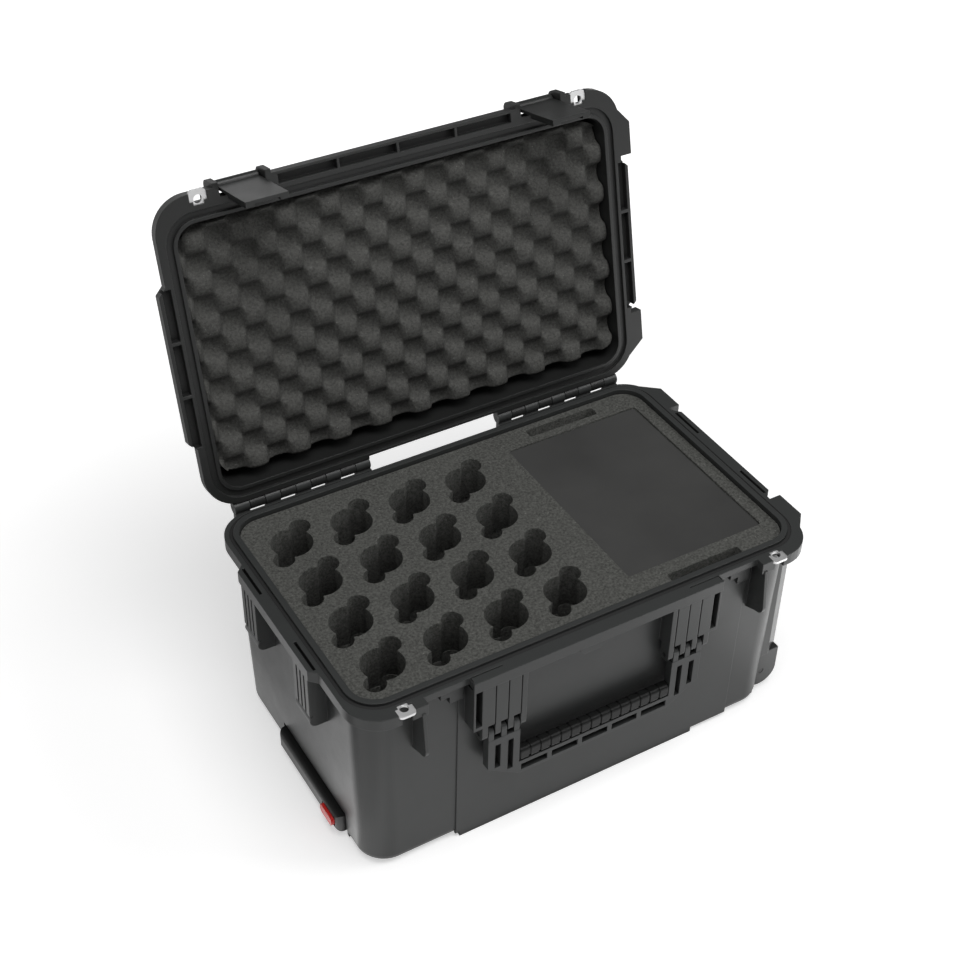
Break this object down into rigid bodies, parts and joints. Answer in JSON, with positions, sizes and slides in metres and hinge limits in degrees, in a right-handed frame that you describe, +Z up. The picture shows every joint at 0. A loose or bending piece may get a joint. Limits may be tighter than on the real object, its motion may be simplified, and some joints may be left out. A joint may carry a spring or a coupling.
{
  "type": "wheeled equipment case",
  "caption": "Hard-shell wheeled case with a hinged lid, draw latches, front carry handle, pull-out tow handle and cut foam for hand-held microphones.",
  "frame": {"origin": "centre of the underside, on the ground", "axes": "+X along the case from the tow handle to the wheels, +Y from the front handle to the hinges, +Z up"},
  "size_m": [0.618, 0.5184, 0.6587],
  "materials": {
    "shell": "lightly textured charcoal moulding",
    "lid": "lightly textured charcoal moulding",
    "latch": "smooth satin moulding",
    "handle": "satin moulding",
    "grip": "soft ribbed rubber",
    "gasket": "matte rubber cord",
    "foam": "open-cell foam, cut clean",
    "pad": "dense smooth foam",
    "stainless": "brushed stainless steel",
    "tube": "satin anodised",
    "tow_plastic": "matte black moulding",
    "button": "satin red moulding",
    "hub": "matte black moulding",
    "tyre": "polyurethane tread"
  },
  "bodies": {
    "base": {"base_shell": "shell", "rim_gasket": "gasket", "padlock_plate_base_left": "stainless", "padlock_plate_base_right": "stainless", "hinge_pin_left": "stainless", "hinge_pin_right": "stainless", "handle_pin_left": "stainless", "handle_pin_right": "stainless", "case_foam": "foam", "foam_floor": "foam", "accessory_pad": "pad", "tow_fixed_tube_front": "tube", "tow_fixed_tube_rear": "tube", "tow_mouth_block": "tow_plastic", "tow_end_block": "tow_plastic", "tow_cover": "tow_plastic", "tow_cover_screws": "stainless", "wheel_housing_front": "shell", "wheel_housing_rear": "shell", "wheel_axle_front": "stainless", "wheel_axle_rear": "stainless", "wheel_housing_screws": "stainless"},
    "lid": {"lid_shell": "lid", "lid_foam": "foam", "padlock_plate_lid_left": "stainless", "padlock_plate_lid_right": "stainless", "latch_pin_left": "stainless", "latch_pin_right": "stainless"},
    "latch_left": {"latch_left": "latch", "latch_hook_left": "latch"},
    "latch_right": {"latch_right": "latch", "latch_hook_right": "latch"},
    "front_handle": {"handle_frame": "handle", "handle_grip": "grip"},
    "tow_handle": {"tow_grip": "tow_plastic", "tow_slide_tube_front": "tube", "tow_slide_tube_rear": "tube"},
    "tow_button": {"tow_button": "button"},
    "wheel_front": {"wheel_hub_front": "hub", "wheel_tyre_front": "tyre"},
    "wheel_rear": {"wheel_hub_rear": "hub", "wheel_tyre_rear": "tyre"}
  },
  "joints": [
    {"name": "lid_hinge", "type": "hinge", "parent": "base", "child": "lid", "pos_m": [0, 0.1865, 0.275], "axis": [1, 0, 0], "range_deg": [0, 103.3]},
    {"name": "latch_left_hinge", "type": "hinge", "parent": "lid", "child": "latch_left", "pos_m": [-0.19, 0.28553, 0.63744], "axis": [1, 0, 0], "range_deg": [-95, 6]},
    {"name": "latch_right_hinge", "type": "hinge", "parent": "lid", "child": "latch_right", "pos_m": [0.19, 0.28553, 0.63744], "axis": [1, 0, 0], "range_deg": [-95, 6]},
    {"name": "front_handle_hinge", "type": "hinge", "parent": "base", "child": "front_handle", "pos_m": [0, -0.184, 0.179], "axis": [1, 0, 0], "range_deg": [-90, 0]},
    {"name": "tow_handle_slide", "type": "slide", "parent": "base", "child": "tow_handle", "axis": [-1, 0, 0], "range_m": [0, 0.335]},
    {"name": "tow_button_slide", "type": "slide", "parent": "tow_handle", "child": "tow_button", "axis": [1, 0, 0], "range_m": [0, 0.003], "stiffness_N_per_m": 500},
    {"name": "wheel_front_spin", "type": "hinge", "parent": "base", "child": "wheel_front", "pos_m": [0.278, -0.138, 0.034], "axis": [0, 1, 0], "continuous": true},
    {"name": "wheel_rear_spin", "type": "hinge", "parent": "base", "child": "wheel_rear", "pos_m": [0.278, 0.138, 0.034], "axis": [0, 1, 0], "continuous": true}
  ]
}
